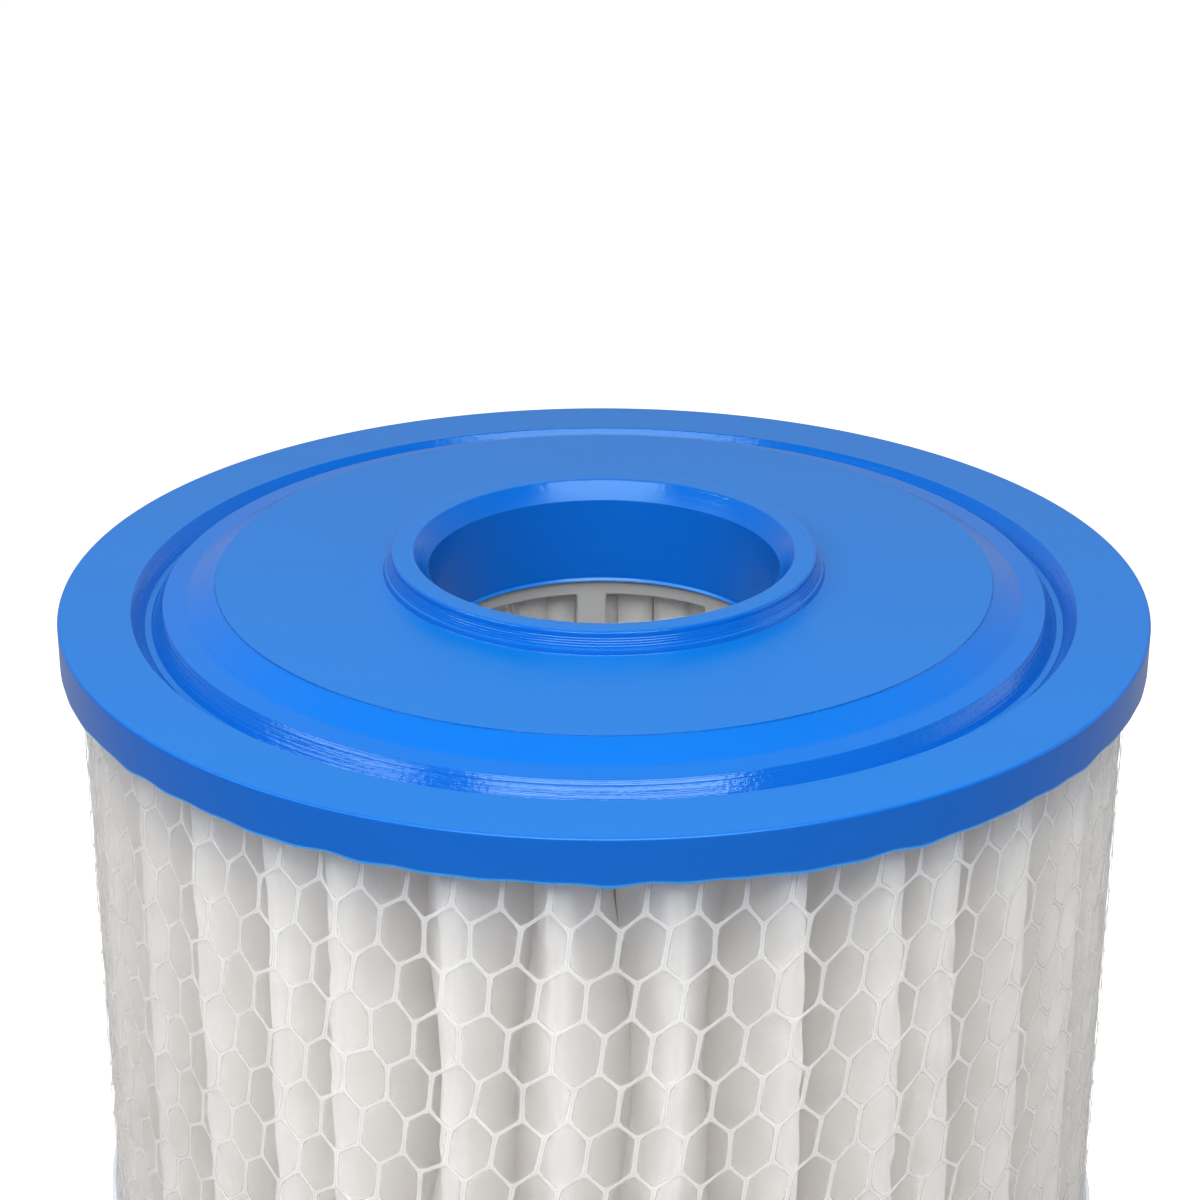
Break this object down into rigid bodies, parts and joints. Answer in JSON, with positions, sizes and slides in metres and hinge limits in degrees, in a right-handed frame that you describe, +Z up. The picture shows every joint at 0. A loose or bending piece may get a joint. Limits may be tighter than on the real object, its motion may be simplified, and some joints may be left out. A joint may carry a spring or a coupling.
{
  "type": "pleated filter cartridge",
  "caption": "Cylindrical pleated filter cartridge for pool or spa water: moulded end caps with a central bore, radial pleats in honeycomb netting, open at both ends",
  "frame": {"origin": "Centre of the lower cap's collar lip, where the standing cartridge touches the floor", "axes": "+Z up along the cartridge's axis and flow path; the sheet's side seam faces away from the viewer, 4 degrees from +Y, so -Y is the side towards the viewer; +X is to the viewer's right"},
  "size_m": [0.1174, 0.1174, 0.2032],
  "materials": {
    "cap_resin": "cast blue resin, satin, with fine turned marks",
    "media": "off-white spun-bonded non-woven, matt and slightly see-through",
    "seam_adhesive": "translucent hot-melt bead",
    "core_plastic": "natural white moulded plastic, satin",
    "netting_plastic": "milky translucent extruded netting",
    "band_plastic": "milky translucent strap"
  },
  "bodies": {
    "root": {"top_end_cap": "cap_resin", "bottom_end_cap": "cap_resin", "pleated_media": "media", "side_seam_bead": "seam_adhesive", "core_upper_cage": "core_plastic", "core_lower_cage": "core_plastic", "netting_sleeve": "netting_plastic", "upper_spacing_band": "band_plastic", "lower_spacing_band": "band_plastic"}
  },
  "joints": []
}
